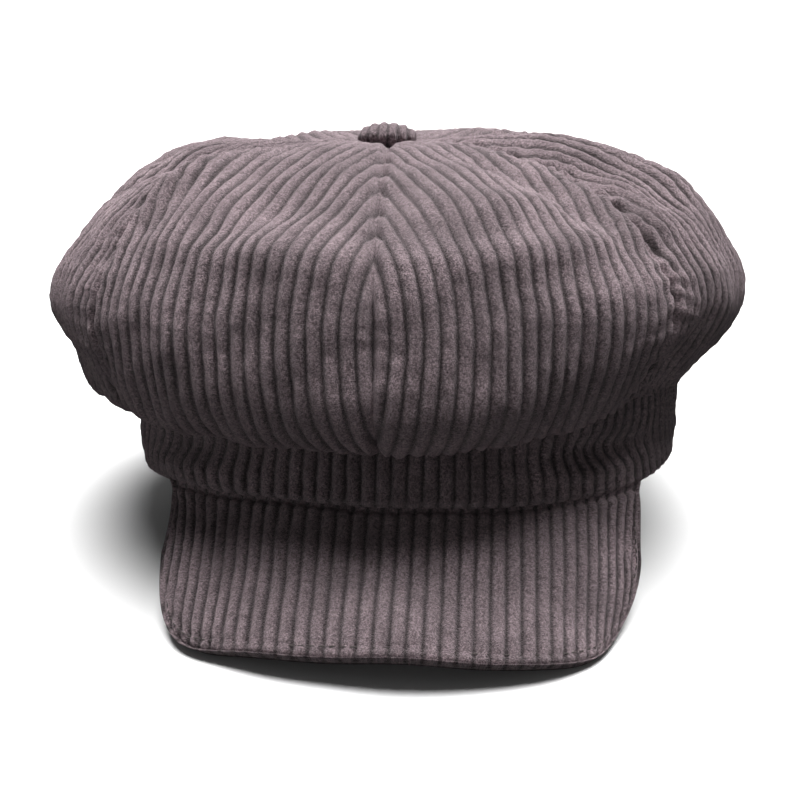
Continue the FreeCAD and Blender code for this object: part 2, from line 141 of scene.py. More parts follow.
def soft_give(points):
    """How the soft cap sags out of its true shape: the hem's right side is pushed up,
    the headband leans out on the left, the crown's lower left is drawn up, the visor's
    right corner is drawn in, its left corner pushed forwards and its front edge arched."""
    x, y, z = points[..., 0], points[..., 1], points[..., 2]
    turn = np.degrees(np.arctan2(x, -y))
    outside = np.hypot(x / BAND_HALF_WIDTH, y / BAND_HALF_DEPTH) > 0.3
    below_band = 1 - smoothstep(-4, BAND_HEIGHT + 4, z)
    rise = 8.5 * bell(turn, 92, 34) * below_band * outside
    rise += 7.0 * bell(turn, -86, 36) * bell(z, 30, 17) * smoothstep(80, 112, -x)
    on_visor = (1 - smoothstep(-34, -14, z)) * (y < 0)
    rise += on_visor * 3.2 * bell(x, -8, 42)
    shift = -3.0 * bell(turn, 88, 34) * bell(z, 10, 26) * outside
    shift -= 8.0 * bell(turn, -70, 30) * bell(z, 14, 24) * smoothstep(30, 75, -x) * outside
    shift -= 4.5 * smoothstep(45, 90, x) * (1 - smoothstep(-30, 8, z))
    shift -= 6.0 * smoothstep(60, 88, x) * (1 - smoothstep(-44, -22, z)) * (y < 0)
    forward = 10.0 * bell(x, -76, 15) * on_visor
    return np.stack([x + shift, y - forward, z + rise], axis=-1)


def cap_to_world(points):
    """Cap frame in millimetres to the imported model's frame in metres."""
    points = soft_give(np.asarray(points, float))
    x, y, z = points[..., 0], points[..., 1], points[..., 2]
    c, s = math.cos(TILT), math.sin(TILT)
    turned = np.stack([x, y * c + z * s, z * c - y * s], axis=-1)
    return (turned + CAP_ORIGIN) * MM


# ---------------------------------------------------------------- small mathematics
def smoothstep(low, high, value):
    part = np.clip((value - low) / (high - low), 0, 1)
    return part * part * (3 - 2 * part)


def waves(points, length, seed):
    """Smooth uneven field of about unit size, made of plane waves."""
    draw = np.random.default_rng(seed)
    total = np.zeros(points.shape[:-1])
    count = 10
    for _ in range(count):
        heading = draw.normal(size=3)
        heading *= 2 * math.pi / length * draw.uniform(0.6, 1.5) / np.linalg.norm(heading)
        total += np.sin(points @ heading + draw.uniform(0, 2 * math.pi))
    return total / math.sqrt(count / 2)


def centripetal_curve(points, samples):
    """Centripetal Catmull-Rom curve through the points, as evenly indexed samples."""
    points = np.array(points, float)
    chain = np.vstack([2 * points[0] - points[1], points, 2 * points[-1] - points[-2]])
    spans = len(points) - 1
    curve = []
    for place in np.linspace(0, spans, samples):
        span = min(int(place), spans - 1)
        p0, p1, p2, p3 = chain[span:span + 4]
        k1 = np.linalg.norm(p1 - p0) ** 0.5
        k2 = k1 + np.linalg.norm(p2 - p1) ** 0.5
        k3 = k2 + np.linalg.norm(p3 - p2) ** 0.5
        k = k1 + (place - span) * (k2 - k1)
        a1 = p0 * (k1 - k) / k1 + p1 * k / k1
        a2 = p1 * (k2 - k) / (k2 - k1) + p2 * (k - k1) / (k2 - k1)
        a3 = p2 * (k3 - k) / (k3 - k2) + p3 * (k - k2) / (k3 - k2)
        b1 = a1 * (k2 - k) / k2 + a2 * k / k2
        b2 = a2 * (k3 - k) / (k3 - k1) + a3 * (k - k1) / (k3 - k1)
        curve.append(b1 * (k2 - k) / (k2 - k1) + b2 * (k - k1) / (k2 - k1))
    return np.array(curve)


def grid_normals(points):
    """Unit normals of a grid of points, (row direction) x (column direction)."""
    down = np.gradient(points, axis=0)
    over = np.gradient(points, axis=1)
    normal = np.cross(down, over)
    return normal / np.maximum(np.linalg.norm(normal, axis=-1, keepdims=True), 1e-9)


def running_length(points, axis):
    """Distance along the grid from its first line, in the given direction."""
    step = np.linalg.norm(np.diff(points, axis=axis), axis=-1)
    start = np.zeros_like(np.take(step, [0], axis=axis))
    return np.concatenate([start, np.cumsum(step, axis=axis)], axis=axis)


# ---------------------------------------------------------------- crown surface
def crown_curves():
    curves = {}
    for side, points in PROFILES.items():
        half = BAND_HALF_DEPTH if side in ("front", "back") else BAND_HALF_WIDTH
        ends = [(0, CROWN_TOP)], [(half - NECK_INSET, BAND_HEIGHT + NECK_RISE)]
        curves[side] = centripetal_curve(ends[0] + list(points) + ends[1], 241)
    return curves


CURVES = crown_curves()
CURVE_SHARES = np.linspace(0, 1, 241)


def crown_point(turn, share):
    """Points of the crown's outer face: turn is 0 at the front and grows to the right,
    share runs from 0 at the button to 1 at the headband."""
    turn, share = np.broadcast_arrays(np.asarray(turn, float), np.asarray(share, float))
    ahead, aside = np.cos(turn), np.sin(turn)
    mixed = []
    for part in (0, 1):
        side = {name: np.interp(share, CURVE_SHARES, curve[:, part])
                for name, curve in CURVES.items()}
        along = np.where(ahead >= 0, side["front"], side["back"])
        across = np.where(aside >= 0, side["right"], side["left"])
        mixed.append(along * ahead ** 2 + across * aside ** 2)
    radius, height = mixed
    lean = (SLOUCH + SLOUCH_TOP * (1 - share) ** 2) * (1 - smoothstep(0.8, 1.0, share))
    return np.stack([radius * aside - lean, -radius * ahead, height], axis=-1)


def seam_turn(number):
    even = 2 * math.pi * number / GORES
    return even + SEAM_SPREAD * math.sin(2 * even)


def first_share():
    radii = CURVES["front"][:, 0]
    return float(np.interp(HOLE_RADIUS, radii[:40], CURVE_SHARES[:40]))


def even_shares(turn, first, last, count):
    """Shares that divide the crown's profile into even lengths."""
    fine = np.linspace(first, last, 600)
    length = running_length(crown_point(turn, fine)[:, None, :], 0)[:, 0]
    return np.interp(np.linspace(0, length[-1], count), length, fine)


# Folds of the soft crown: (turn in degrees, share) at both ends, width and height in mm
FOLDS = [
    ((-61, 0.14), (-80, 0.42), 13, -9.0),
    ((-44, 0.16), (-50, 0.50), 7, 4.2),
    ((-124, 0.32), (-88, 0.44), 27, 6.2),
    ((-104, 0.54), (-78, 0.57), 17, 2.6),
    ((-86, 0.62), (-60, 0.74), 16, -2.4),
    ((-26, 0.71), (32, 0.71), 19, 6.0),
    ((-40, 0.437), (-3, 0.437), 7, 2.6),
    ((3, 0.437), (40, 0.437), 7, 2.8),
    ((-26, 0.30), (-12, 0.34), 17, -2.6),
    ((8, 0.30), (24, 0.39), 13, 2.0),
    ((30, 0.17), (43, 0.43), 8, -5.0),
    ((62, 0.10), (76, 0.42), 10, 4.4),
    ((52, 0.14), (52, 0.44), 6, -2.4),
    ((84, 0.46), (104, 0.56), 26, -3.2),
    ((100, 0.12), (112, 0.36), 12, -2.0),
    ((128, 0.12), (136, 0.42), 14, 3.0),
    ((-78, 0.56), (-62, 0.78), 8, -2.2),
    ((24, 0.58), (14, 0.76), 12, 1.6),
    ((66, 0.56), (52, 0.74), 9, -2.0),
    ((84, 0.58), (70, 0.74), 9, 1.8),
    ((160, 0.35), (176, 0.62), 13, -3.2),
    ((-150, 0.40), (-168, 0.66), 12, 2.8),
    ((-130, 0.50), (-112, 0.72), 10, -2.4),
]


def fold_relief(points, folds=FOLDS):
    """Height of all the crown's folds at the given points."""
    relief = np.zeros(points.shape[:-1])
    steps = np.linspace(0, 1, 15)
    for (turn_a, share_a), (turn_b, share_b), width, height in folds:
        turns = np.radians(turn_a + (turn_b - turn_a) * steps)
        line = crown_point(turns, share_a + (share_b - share_a) * steps)
        best = np.full(points.shape[:-1], 1e9)
        where = np.zeros(points.shape[:-1])
        for step, spot in zip(steps, line):
            gap = np.linalg.norm(points - spot, axis=-1)
            closer = gap < best
            best = np.where(closer, gap, best)
            where = np.where(closer, step, where)
        fade = 0.35 + 0.65 * np.sin(math.pi * where)
        relief += height * fade * np.exp(-(best / width) ** 2)
    return relief


# ---------------------------------------------------------------- meshes
def link(name, mesh):
    piece = bpy.data.objects.new(name, mesh)
    bpy.context.scene.collection.objects.link(piece)
    return piece


def smooth(piece):
    piece.data.polygons.foreach_set("use_smooth", [True] * len(piece.data.polygons))
    piece.data.update()


def cloth_shell(name, outer, inner, flat, closed=False):
    """Thin closed piece of cloth from matching grids of outer and inner points in the
    cap frame.  flat holds each point's place on the cut cloth, in wales, for the UV
    map.  closed joins the last column to the first, as in a band."""
    rows, columns = outer.shape[:2]
    index = np.arange(rows * columns).reshape(rows, columns)
    if closed:
        index = np.concatenate([index, index[:, :1]], axis=1)
    a, b = index[:-1, :-1], index[1:, :-1]
    c, d = index[1:, 1:], index[:-1, 1:]
    front = np.stack([a, b, c, d], axis=-1).reshape(-1, 4)
    shift = rows * columns
    back = np.stack([a, d, c, b], axis=-1).reshape(-1, 4) + shift

    def rim(line):
        start, finish = line[:-1], line[1:]
        return np.stack([finish, start, start + shift, finish + shift], axis=-1)

    edges = [rim(index[-1]), rim(index[0, ::-1])]
    if not closed:
        edges += [rim(index[::-1, -1]), rim(index[:, 0])]
    faces = np.concatenate([front, back] + edges)
    points = np.concatenate([outer.reshape(-1, 3), inner.reshape(-1, 3)])
    mesh = bpy.data.meshes.new(name)
    mesh.from_pydata(cap_to_world(points).tolist(), [], faces.tolist())
    mesh.validate()
    layer = mesh.uv_layers.new(name="cloth")
    both = np.concatenate([flat.reshape(-1, 2), flat.reshape(-1, 2)])
    corners = np.empty(len(mesh.loops), int)
    mesh.loops.foreach_get("vertex_index", corners)
    layer.data.foreach_set("uv", both[corners].ravel())
    piece = link(name, mesh)
    smooth(piece)
    return piece


def wale_relief(place, points):
    """Rounded cords with narrow grooves; place counts wales across the cloth."""
    wander = 0.035 * waves(points, 26, 11) + 0.02 * waves(points, 9, 12)
    ridge = np.abs(np.cos(math.pi * (place + wander))) ** 0.75
    nubs = 1 + 0.07 * waves(points, 5.5, 13) + 0.05 * waves(points, 2.6, 14)
    return WALE_RISE * (ridge * nubs - 0.8)


def ride_and_dress(piece, body, material, slot, *nodes):
    piece.data.materials.append(material)
    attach(piece, body)
    if nodes:
        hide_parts(*nodes)
    return piece


# ---------------------------------------------------------------- shader helpers
def group(name, inputs, outputs):
    """Empty node group with named sockets, and its input and output nodes."""
    tree = bpy.data.node_groups.new(name, "ShaderNodeTree")
    for kind, label, value in inputs:
        socket = tree.interface.new_socket(label, in_out="INPUT", socket_type=kind)
        if value is not None:
            socket.default_value = value
    for kind, label in outputs:
        tree.interface.new_socket(label, in_out="OUTPUT", socket_type=kind)
    return tree, tree.nodes.new("NodeGroupInput"), tree.nodes.new("NodeGroupOutput")


def math_node(tree, operation, *values, clamp=False):
    node = tree.nodes.new("ShaderNodeMath")
    node.operation = operation
    node.use_clamp = clamp
    for socket, value in zip(node.inputs, values):
        if isinstance(value, (int, float)):
            socket.default_value = value
        else:
            tree.links.new(value, socket)
    return node.outputs[0]


def noise_node(tree, vector, scale, detail, roughness=0.55):
    node = tree.nodes.new("ShaderNodeTexNoise")
    node.inputs["Scale"].default_value = scale
    node.inputs["Detail"].default_value = detail
    node.inputs["Roughness"].default_value = roughness
    tree.links.new(vector, node.inputs["Vector"])
    return node.outputs["Fac"]


def range_node(tree, value, low, high, to_low, to_high):
    node = tree.nodes.new("ShaderNodeMapRange")
    node.interpolation_type = "SMOOTHSTEP"
    for label, number in (("From Min", low), ("From Max", high),
                          ("To Min", to_low), ("To Max", to_high)):
        node.inputs[label].default_value = number
    tree.links.new(value, node.inputs["Value"])
    return node.outputs["Result"]


def mix_colour(tree, blend, factor, first, second):
    node = tree.nodes.new("ShaderNodeMix")
    node.data_type = "RGBA"
    node.blend_type = blend
    for socket, value in ((node.inputs[0], factor), (node.inputs[6], first),
                          (node.inputs[7], second)):
        if isinstance(value, (int, float, tuple)):
            socket.default_value = value
        else:
            tree.links.new(value, socket)
    return node.outputs[2]


def scaled(tree, vector, factors):
    node = tree.nodes.new("ShaderNodeVectorMath")
    node.operation = "MULTIPLY"
    node.inputs[1].default_value = factors
    tree.links.new(vector, node.inputs[0])
    return node.outputs[0]


def pile_group():
    """Corduroy pile: painted shade in the grooves, lighter cord tops, brushed patches and
    fibres.
    """
    tree, given, out = group("Corduroy pile", [
        ("NodeSocketVector", "Cloth", None), ("NodeSocketVector", "Place", None),
        ("NodeSocketColor", "Cord", (0.2, 0.17, 0.16, 1)),
        ("NodeSocketColor", "Groove shade", (0.04, 0.03, 0.03, 1)),
    ], [("NodeSocketColor", "Colour"), ("NodeSocketFloat", "Roughness"),
        ("NodeSocketFloat", "Height")])
    cloth, place = given.outputs["Cloth"], given.outputs["Place"]
    split = tree.nodes.new("ShaderNodeSeparateXYZ")
    tree.links.new(cloth, split.inputs[0])
    swing = math_node(tree, "COSINE", math_node(tree, "MULTIPLY", split.outputs[0], math.pi))
    crest = math_node(tree, "ABSOLUTE", swing)
    fibres = noise_node(tree, scaled(tree, cloth, (7.0, 9.0, 1.0)), 1.6, 3, 0.65)
    tufts = noise_node(tree, place, 1100, 4, 0.75)
    nap = noise_node(tree, place, 55, 4, 0.6)
    broad = noise_node(tree, place, 18, 2, 0.5)
    # This mask is high on the cord tops and low between them, where the near-black groove colour
    # paints the shade of the grooves.
    groove_shade_mask = math_node(tree, "ADD", crest,
                       math_node(tree, "MULTIPLY", math_node(tree, "SUBTRACT", tufts, 0.5), 0.8))
    top = range_node(tree, groove_shade_mask, 0.02, 0.95, 0.0, 1.0)
    base = mix_colour(tree, "MIX", top, given.outputs["Groove shade"], given.outputs["Cord"])
    shade = range_node(tree, nap, 0.3, 0.7, 0.72, 1.26)
    shade = math_node(tree, "MULTIPLY", shade, range_node(tree, broad, 0.3, 0.7, 0.9, 1.1))
    shade = math_node(tree, "MULTIPLY", shade, range_node(tree, fibres, 0.32, 0.68, 0.4, 1.6))
    shade = math_node(tree, "MULTIPLY", shade, range_node(tree, tufts, 0.33, 0.67, 0.42, 1.65))
    grey = tree.nodes.new("ShaderNodeCombineColor")
    for socket in grey.inputs:
        tree.links.new(shade, socket)
    colour = mix_colour(tree, "MULTIPLY", 1.0, base, grey.outputs[0])
    tree.links.new(colour, out.inputs["Colour"])
    tree.links.new(range_node(tree, fibres, 0.2, 0.8, 0.98, 0.82), out.inputs["Roughness"])
    height = math_node(tree, "ADD", math_node(tree, "MULTIPLY", fibres, 0.7),
                       math_node(tree, "MULTIPLY", tufts, 0.6))
    tree.links.new(height, out.inputs["Height"])
    return tree


def twill_group():
    """Fine twill: slanting ribs with a little unevenness."""
    tree, given, out = group("Twill", [
        ("NodeSocketVector", "Cloth", None), ("NodeSocketVector", "Place", None),
        ("NodeSocketColor", "Thread", (0.02, 0.02, 0.02, 1)),
    ], [("NodeSocketColor", "Colour"), ("NodeSocketFloat", "Height")])
    split = tree.nodes.new("ShaderNodeSeparateXYZ")
    tree.links.new(given.outputs["Cloth"], split.inputs[0])
    slant = math_node(tree, "ADD", split.outputs[0], split.outputs[1])
    rib = math_node(tree, "SINE", math_node(tree, "MULTIPLY", slant, 46.0))
    grain = noise_node(tree, given.outputs["Place"], 420, 3)
    height = math_node(tree, "ADD", math_node(tree, "MULTIPLY", rib, 0.5), grain)
    lift = range_node(tree, height, -0.2, 1.2, 0.65, 1.5)
    grey = tree.nodes.new("ShaderNodeCombineColor")
    for socket in grey.inputs:
        tree.links.new(lift, socket)
    colour = mix_colour(tree, "MULTIPLY", 1.0, given.outputs["Thread"], grey.outputs[0])
    tree.links.new(colour, out.inputs["Colour"])
    tree.links.new(height, out.inputs["Height"])
    return tree


PILE = pile_group()
TWILL = twill_group()


def new_material(name):
    material = bpy.data.materials.new(name)
    material.use_nodes = True
    shader = material.node_tree.nodes["Principled BSDF"]
    return material, material.node_tree, shader


def place_group(tree, inner, cloth=True):
    """A group node fed with the cloth's own UV map and the object's coordinates."""
    node = tree.nodes.new("ShaderNodeGroup")
    node.node_tree = inner
    where = tree.nodes.new("ShaderNodeTexCoord")
    tree.links.new(where.outputs["Object"], node.inputs["Place"])
    if cloth:
        uv = tree.nodes.new("ShaderNodeUVMap")
        uv.uv_map = "cloth"
        tree.links.new(uv.outputs[0], node.inputs["Cloth"])
    return node


def bump(tree, height, shader, distance, strength):
    node = tree.nodes.new("ShaderNodeBump")
    node.inputs["Distance"].default_value = distance
    node.inputs["Strength"].default_value = strength
    tree.links.new(height, node.inputs["Height"])
    tree.links.new(node.outputs[0], shader.inputs["Normal"])


def corduroy_material():
    material, tree, shader = new_material("taupe corduroy")
    pile = place_group(tree, PILE)
    pile.inputs["Cord"].default_value = (0.235, 0.180, 0.194, 1)
    # near-black colour painted into the grooves between the cords as their shade
    pile.inputs["Groove shade"].default_value = (0.022, 0.017, 0.017, 1)
    tree.links.new(pile.outputs["Colour"], shader.inputs["Base Color"])
    tree.links.new(pile.outputs["Roughness"], shader.inputs["Roughness"])
    bump(tree, pile.outputs["Height"], shader, 0.0016, 1.0)
    shader.inputs["Specular IOR Level"].default_value = 0.12
    shader.inputs["Sheen Weight"].default_value = 0.6
    shader.inputs["Sheen Roughness"].default_value = 0.4
    shader.inputs["Sheen Tint"].default_value = (0.90, 0.76, 0.80, 1)
    return material


def twill_material(name, thread, sheen):
    material, tree, shader = new_material(name)
    weave = place_group(tree, TWILL)
    weave.inputs["Thread"].default_value = thread
    tree.links.new(weave.outputs["Colour"], shader.inputs["Base Color"])
    bump(tree, weave.outputs["Height"], shader, 0.0002, 0.6)
    shader.inputs["Roughness"].default_value = 0.7
    shader.inputs["Sheen Weight"].default_value = sheen
    return material


def grained_material(name, colour, roughness, scale, depth, metallic=0.0):
    """Plain stuff with a fine uneven grain: board, tinplate, steel or thread."""
    material, tree, shader = new_material(name)
    where = tree.nodes.new("ShaderNodeTexCoord")
    grain = noise_node(tree, where.outputs["Object"], scale, 4)
    lift = range_node(tree, grain, 0.3, 0.7, 0.8, 1.2)
    grey = tree.nodes.new("ShaderNodeCombineColor")
    for socket in grey.inputs:
        tree.links.new(lift, socket)
    tree.links.new(mix_colour(tree, "MULTIPLY", 1.0, colour, grey.outputs[0]),
                   shader.inputs["Base Color"])
    tree.links.new(range_node(tree, grain, 0.3, 0.7, roughness - 0.08, roughness + 0.08),
                   shader.inputs["Roughness"])
    bump(tree, grain, shader, depth, 0.5)
    shader.inputs["Metallic"].default_value = metallic
    return material


CORDUROY = corduroy_material()
LINING = twill_material("black lining twill", (0.016, 0.016, 0.018, 1), 0.3)
SWEAT = twill_material("black sweatband twill", (0.012, 0.012, 0.013, 1), 0.2)
STIFFENER = twill_material("off-white interlining", (0.62, 0.6, 0.54, 1), 0.0)
ELASTIC = twill_material("white braided elastic", (0.6, 0.6, 0.6, 1), 0.0)
SATIN = twill_material("blank satin tab", (0.62, 0.6, 0.56, 1), 0.5)
BOARD = grained_material("dark visor board", (0.06, 0.06, 0.06, 1), 0.5, 300, 0.0001)
TIN = grained_material("pressed tinplate", (0.6, 0.6, 0.58, 1), 0.3, 240, 0.00004, 1.0)
STEEL = grained_material("spring steel", (0.5, 0.5, 0.5, 1), 0.35, 400, 0.00004, 1.0)
BLACK_THREAD = grained_material("black thread", (0.02, 0.02, 0.02, 1), 0.7, 2500, 0.0001)
BROWN_THREAD = grained_material("brown thread", (0.07, 0.058, 0.055, 1), 0.75, 2500, 0.0001)


# ---------------------------------------------------------------- crown gores
GORE_COLUMNS = 164
GORE_ROWS = 150
SEAM_DEPTH = 2.1
SEAM_ROLL = 4.2
GORE_PUFF = 2.6
CLOTH_THICK = 1.5
# how strongly each seam is puckered, from the front seam round to the right
SEAM_PUCKERS = (0.3, 0.75, 0.4, 0.4, 0.35, 0.4, 0.4, 0.4)


def crown_slack(base, share, across, width):
    """Smooth relief of a gore: its fullness between the seams, its slack and folds."""
    fullness = np.clip(width / 60, 0, 1) * (1 - smoothstep(0.84, 1.0, share))
    puff = GORE_PUFF * (1 - (2 * across - 1) ** 2)
    sink = 0.4 + 2.8 * smoothstep(0.3, 0.5, share)
    slack = 0.9 * waves(base, 62, 31) + 0.45 * waves(base, 27, 32)
    return fullness, (puff + slack + fold_relief(base)) * fullness - sink


def gore_measures(base):
    """Each point's distance across from the gore's middle line and down from its tip,
    the gore's width at each row, and the distance to the nearer seam."""
    side = running_length(base, 1)
    width = side[:, -1:]
    side = side - width / 2
    down = running_length(base, 0)[:, base.shape[1] // 2][:, None] + 0 * side
    return side, down, width, width / 2 - np.abs(side)


def crown_gore(number):
    """One gore: its cords run parallel to its middle line and are cut off slantwise
    at the seams, where the cloth rolls inwards."""
    start, finish = seam_turn(number), seam_turn(number + 1)
    middle = (start + finish) / 2
    share = even_shares(middle, first_share(), 1.0, GORE_ROWS)[:, None]
    across = np.linspace(0, 1, GORE_COLUMNS)[None, :]
    base = crown_point(start + (finish - start) * across, share)
    outward = grid_normals(base)
    side, down, width, to_seam = gore_measures(base)
    fullness, lift = crown_slack(base, share, across, width)
    roll = (1 - np.clip(to_seam / SEAM_ROLL, 0, 1)) ** 1.8
    pucker_size = np.where(across < 0.5, SEAM_PUCKERS[number],
                           SEAM_PUCKERS[(number + 1) % GORES])
    pucker = np.sin(down * 2 * math.pi / 8.5 + 1.3 * waves(base, 30, 21))
    pucker *= np.exp(-to_seam / 7.5) * pucker_size * fullness
    lift = lift + pucker - SEAM_DEPTH * roll
    wales = wale_relief(side / WALE, base)
    grooves = 1 - np.abs(np.cos(math.pi * side / WALE))
    wales -= 1.5 * grooves ** 2 * bell(to_seam, 1.3, 1.1)
    wales += 0.5 * bell(to_seam, 2.4, 1.2)
    outer = base + outward * (lift + wales)[..., None]
    inner = base + outward * (lift - WALE_RISE - CLOTH_THICK)[..., None]
    flat = np.stack([side / WALE, down / WALE], axis=-1)
    piece = cloth_shell(f"crown_cloth_{number + 1}", outer, inner, flat)
    ride_and_dress(piece, "cap", CORDUROY, "corduroy", f"crown_gore_{number + 1}")


# ---------------------------------------------------------------- lining
LINING_DEPTH = 4.4
LINING_LEAVE = 0.62
LINING_ROWS = 70
LINING_COLUMNS = 40


def lining_gore(number):
    """Lining under one gore: it leaves the cloth at the widest place, crosses the
    slack of the crown and runs down behind the headband."""
    start, finish = seam_turn(number), seam_turn(number + 1)
    across = np.linspace(0, 1, LINING_COLUMNS)[None, :]
    turn = start + (finish - start) * across
    top_rows = int(LINING_ROWS * 0.7)
    share = even_shares((start + finish) / 2, first_share(), LINING_LEAVE, top_rows)[:, None]
    upper = crown_point(turn, share)
    top_width = running_length(upper, 1)[:, -1:]
    slack = crown_slack(upper, share, across, top_width)[1]
    upper = upper + grid_normals(upper) * (slack - LINING_DEPTH)[..., None]
    first = upper[-1]
    neck = oval_point(turn[0], 2.8, BAND_HEIGHT + 4.5)
    tail = oval_point(turn[0], 3.1, BAND_HEIGHT - 5.5)
    pull_out = first - upper[-2]
    pull_out = pull_out / np.linalg.norm(pull_out, axis=-1, keepdims=True) * 16
    pull_in = np.array([0, 0, 16.0])
    lower = []
    for along in np.linspace(0, 1, LINING_ROWS - top_rows - 5)[1:]:
        back = 1 - along
        lower.append(first * back ** 3 + (first + pull_out) * 3 * back ** 2 * along
                     + (neck + pull_in) * 3 * back * along ** 2 + neck * along ** 3)
    for along in np.linspace(0, 1, 6)[1:]:
        lower.append(neck + (tail - neck) * along)
    base = np.concatenate([upper, np.array(lower)])
    outward = grid_normals(base)
    side, down, width, to_seam = gore_measures(base)
    rows = np.linspace(0, 1, len(base))[:, None]
    free = np.sin(math.pi * np.clip(rows * 1.06, 0, 1)) ** 0.6
    relief = -1.0 * np.exp(-to_seam / 2.5) + 0.7 * waves(base, 34, 41) * free
    relief -= 0.8 * free
    outer = base + outward * relief[..., None]
    inner = base + outward * (relief - 0.5)[..., None]
    flat = np.stack([side / WALE, down / WALE], axis=-1)
    piece = cloth_shell(f"lining_cloth_{number + 1}", outer, inner, flat)
    ride_and_dress(piece, "cap", LINING, "lining_cloth", f"lining_gore_{number + 1}")


# ---------------------------------------------------------------- headband layers
def oval_point(turn, inset, height):
    """Points of an upright oval wall, inset from the headband's outer face."""
    turn = np.asarray(turn, float)
    return np.stack([(BAND_HALF_WIDTH - inset) * np.sin(turn),
                     -(BAND_HALF_DEPTH - inset) * np.cos(turn),
                     np.zeros_like(turn) + height], axis=-1)


def oval_turns(count):
    """Turns that divide the headband's oval into even lengths, from the back."""
    fine = np.linspace(-math.pi, math.pi, 4001)
    length = running_length(oval_point(fine, 0, 0)[:, None, :], 0)[:, 0]
    return np.interp(np.arange(count) / count * length[-1], length, fine), float(length[-1])


# Buckles of the headband: turn in degrees, height, angular and upright spread, depth
BUCKLES = [
    (44, 17, 13, 4.5, -3.2),
    (40, 9, 16, 4.0, 1.8),
    (-50, 15, 15, 5.0, -2.2),
    (-46, 7, 14, 4.0, 1.4),
    (8, 20, 26, 6.0, -1.4),
    (95, 14, 20, 7.0, 1.5),
    (-100, 16, 22, 7.0, 1.6),
    (160, 18, 24, 6.0, -2.0),
]


def band_buckle(turn, height):
    """Sideways give of the soft headband, millimetres outwards."""
    degrees = np.degrees(turn)
    total = 0.5 * np.sin(turn * 5 + 1.0) * np.sin(math.pi * np.clip(height / BAND_HEIGHT, 0, 1))
    for place, level, spread, rise, depth in BUCKLES:
        apart = (degrees - place + 180) % 360 - 180
        total = total + depth * np.exp(-(apart / spread) ** 2 - ((height - level) / rise) ** 2)
    hold = smoothstep(0, 5, height)
    return total * hold


def band_strip(name, inset, thick, low, high, relief, columns, rows, span=None):
    """A strip of cloth standing round the headband's oval.  relief(turn, height, place,
    base) is its surface detail; span limits it to a stretch of turns.  Also gives the
    strip's own length."""
    if span is None:
        turn, around = oval_turns(columns)
    else:
        turn = np.linspace(span[0], span[1], columns)
        around = None
    turn = turn[None, :]
    height = np.linspace(high, low, rows)[:, None]
    turn, height = np.broadcast_arrays(turn, height)
    base = oval_point(turn, inset, 0)
    base[..., 2] = height
    outward = grid_normals(base)
    if span is None:
        wide = np.concatenate([base[:, -2:], base, base[:, :2]], axis=1)
        outward = grid_normals(wide)[:, 2:-2]
    place = running_length(base, 1)
    lift = band_buckle(turn, height) + relief(turn, height, place, base)
    outer = base + outward * lift[..., None]
    under = band_buckle(turn, height) - thick
    inner = base + outward * under[..., None]
    cords = place + band_sway(turn, height)
    if span is None:
        cords = cords / around * round(around / WALE) * WALE
    flat = np.stack([cords / WALE, height / WALE], axis=-1)
    piece = cloth_shell(name, outer, inner, flat, closed=span is None)
    length = around - 2 * math.pi * inset if around else float(place[0, -1])
    return piece, length


def band_sway(turn, height):
    """Sideways drift of the headband's cords where the band has buckled, in mm."""
    degrees = np.degrees(turn)
    middle = height - BAND_HEIGHT / 2
    zigzag = 2.4 * bell(degrees, 46, 20) * bell(middle, -2, 6.5)
    zigzag = zigzag - 2.2 * bell(degrees, -52, 22) * bell(middle, 2, 7)
    slant = 0.28 * bell(degrees, 78, 26) * middle
    return zigzag + slant - 0.10 * bell(degrees, -70, 25) * middle


def hem_curl(height, low, depth, reach):
    """How far a folded edge rolls inwards near the height low."""
    near = 1 - np.clip((height - low) / reach, 0, 1)
    return -depth * (1 - np.sqrt(np.maximum(1 - near ** 2, 0)))


def headband():
    around = oval_turns(8)[1]
    count = round(around / WALE)

    def relief(turn, height, place, base):
        wales = wale_relief((place + band_sway(turn, height)) / around * count, base)
        bead = 0.5 * np.exp(-((height - 2.6) / 1.7) ** 2)
        return wales + bead + hem_curl(height, 0, 1.9, 2.4) - 0.3

    piece, length = band_strip("headband_cloth", 0, BAND_CLOTH, 0.0, BAND_HEIGHT + BAND_TURN_IN,
                               relief, 960, 38)
    ride_and_dress(piece, "cap", CORDUROY, "corduroy", "headband")


def plain(turn, height, place, base):
    return np.zeros_like(height)


def back_span(half):
    """Turns of a strip across the middle of the back."""
    return math.pi - half, math.pi + half


def inner_bands():
    """The interlining, sweatband, elastic and size tab, from the outside inwards."""
    piece, length = band_strip("interlining_strip", INTERLINING_INSET + LAYER_GAP, STRIP_THICK,
                               *INTERLINING_SPAN, plain, 240, 10)
    ride_and_dress(piece, "cap", STIFFENER, "interlining", "headband_interlining")

    def sweat(turn, height, place, base):
        curl = hem_curl(height, -SWEATBAND_DROP, 0.8, 1.2)
        return curl + 0.12 * waves(base, 24, 51)

    top = SWEATBAND_HEIGHT - SWEATBAND_DROP
    piece, length = band_strip("sweatband_cloth", SWEATBAND_INSET + LAYER_GAP, SWEATBAND_THICK,
                               -SWEATBAND_DROP, top, sweat, 480, 26)
    ride_and_dress(piece, "cap", SWEAT, "sweatband_cloth", "sweatband")

    def gathers(turn, height, place, base):
        return 0.1 * np.sin(place * 2 * math.pi / 3.0)

    piece, length = band_strip("elastic_strip", ELASTIC_INSET + LAYER_GAP, STRIP_THICK,
                               *ELASTIC_SPAN, gathers, 160, 12, back_span(ELASTIC_HALF_TURN))
    ride_and_dress(piece, "cap", ELASTIC, "elastic", "back_elastic")

    def creased(turn, height, place, base):
        return 0.15 * waves(base, 11, 61)

    half = TAB_LENGTH / 2 / (BAND_HALF_DEPTH - 5)
    piece, length = band_strip("blank_tab", SWEATBAND_INSET + 1.9, 0.4, *TAB_SPAN, creased,
                               26, 20, back_span(half))
    ride_and_dress(piece, "cap", SATIN, "tab_satin", "size_tab")


